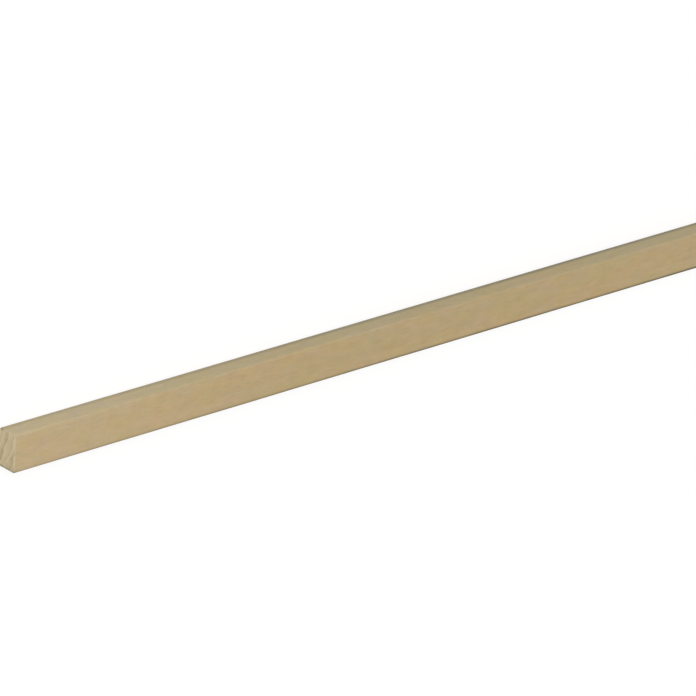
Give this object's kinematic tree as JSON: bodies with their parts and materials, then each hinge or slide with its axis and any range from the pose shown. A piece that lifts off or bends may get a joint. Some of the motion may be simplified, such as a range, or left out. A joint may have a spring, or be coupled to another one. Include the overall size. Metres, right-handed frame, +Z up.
{
  "type": "flat wood strip",
  "caption": "Straight length of planed rectangular softwood strip with eased long arrises and square sawn ends, for trim, battens and frames.",
  "frame": {"origin": "middle of the underside, the wide face that the strip lies on", "axes": "+X along the length and the grain, +Y across the wide face, +Z up through the thickness"},
  "size_m": [0.9, 0.025, 0.015],
  "materials": {
    "bare_wood": "planed and lightly sanded, unfinished"
  },
  "bodies": {
    "root": {"wood_strip": "bare_wood"}
  },
  "joints": []
}
